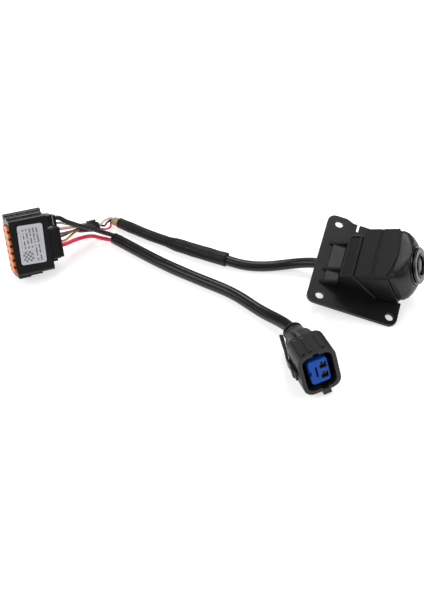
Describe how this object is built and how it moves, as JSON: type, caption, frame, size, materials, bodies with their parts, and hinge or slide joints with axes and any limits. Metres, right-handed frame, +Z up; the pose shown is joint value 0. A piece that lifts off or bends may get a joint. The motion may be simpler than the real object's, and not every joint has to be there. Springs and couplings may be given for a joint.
{
  "type": "backup camera kit",
  "caption": "Plate-mounted rear-view camera with its control module and a sealed power plug, joined by one wiring harness.",
  "frame": {"origin": "centre of the box round the module and the camera unit, on the surface that the kit lies on", "axes": "+X from the control module to the camera unit, +Y away from the two-pin plug, +Z up"},
  "size_m": [0.2105, 0.1249, 0.0349],
  "materials": {
    "housing_black": "fine moulded texture, satin",
    "plate_black": "fine moulded texture, satin",
    "pad_black": "fine grained soft-touch plastic",
    "lens_black": "smooth semi-gloss",
    "lens_glass": "clear coated glass",
    "module_black": "moulded, semi-gloss",
    "retainer_orange": "moulded, satin",
    "label_grey": "printed label stock",
    "connector_grey": "glass-filled, satin",
    "retainer_blue": "moulded, satin",
    "terminal_bronze": "plated bronze",
    "board_green": "solder mask",
    "chip_black": "moulded",
    "seal_rubber": "soft rubber",
    "sleeve_matte": "heat-shrink, matte",
    "sleeve_gloss": "soft vinyl tube, gloss",
    "foil_tan": "crinkled tape",
    "wire_black": "insulation, satin",
    "wire_white": "insulation, satin",
    "wire_pink": "insulation, satin",
    "wire_brown": "insulation, satin",
    "wire_grey": "insulation, satin",
    "wire_orange": "insulation, satin",
    "wire_red": "insulation, satin"
  },
  "bodies": {
    "kit": {"black_wire": "wire_black", "brown_wire": "wire_brown", "cable_gland": "seal_rubber", "camera_cable": "wire_black", "camera_housing": "housing_black", "camera_sleeve": "sleeve_matte", "core_seal": "seal_rubber", "cover_screw_1": "terminal_bronze", "cover_screw_2": "terminal_bronze", "cream_wire": "wire_white", "foil_collar": "foil_tan", "front_lens": "lens_glass", "grey_wire": "wire_grey", "image_sensor": "chip_black", "lead_socket": "seal_rubber", "lead_wire_black": "wire_black", "lead_wire_red": "wire_red", "lens_barrel": "lens_black", "lens_collar": "lens_black", "lens_face_ring": "lens_black", "lens_seal": "seal_rubber", "middle_lens": "lens_glass", "mounting_plate": "plate_black", "nose_cover": "housing_black", "orange_wire": "wire_orange", "pink_wire_1": "wire_pink", "pink_wire_2": "wire_pink", "plug_housing": "module_black", "plug_rear_cover": "module_black", "plug_wire_seal": "seal_rubber", "power_board": "board_green", "power_plug_housing": "connector_grey", "power_sleeve": "sleeve_gloss", "rear_cover": "housing_black", "rear_lens": "lens_glass", "rear_seal": "seal_rubber", "red_wire": "wire_red", "sensor_board": "board_green", "tape_wrap": "sleeve_matte", "terminal_1": "terminal_bronze", "terminal_2": "terminal_bronze", "terminal_core": "connector_grey", "top_pad_front": "pad_black", "top_pad_rear": "pad_black", "white_wire": "wire_white"},
    "module": {"module_case": "module_black", "module_label": "label_grey", "outer_header": "chip_black", "inner_header": "chip_black", "module_board": "board_green", "module_chip": "chip_black"},
    "module_retainer": {"module_retainer": "retainer_orange"},
    "plug_latch": {"plug_latch": "module_black"},
    "blue_retainer": {"power_plug_retainer": "retainer_blue"},
    "lock_arm": {"lock_arm": "connector_grey"}
  },
  "joints": [
    {"name": "module_pull", "type": "slide", "parent": "kit", "child": "module", "axis": [-0.9118, -0.4021, 0.0837], "range_m": [0, 0.02]},
    {"name": "module_retainer_slide", "type": "slide", "parent": "module", "child": "module_retainer", "axis": [-0.9118, -0.4021, 0.0837], "range_m": [0, 0.002]},
    {"name": "latch_press", "type": "hinge", "parent": "kit", "child": "plug_latch", "pos_m": [-0.08351, 0.02145, 0.02211], "axis": [-0.3866, 0.7712, -0.5058], "range_deg": [0, 5], "stiffness_Nm_per_rad": 0.05},
    {"name": "blue_retainer_slide", "type": "slide", "parent": "kit", "child": "blue_retainer", "axis": [0.2762, -0.9323, 0.2334], "range_m": [0, 0.0025]},
    {"name": "lock_arm_press", "type": "hinge", "parent": "kit", "child": "lock_arm", "pos_m": [0.03604, -0.06327, 0.01061], "axis": [0.248, -0.1655, -0.9545], "range_deg": [0, 1.2], "stiffness_Nm_per_rad": 0.1}
  ]
}
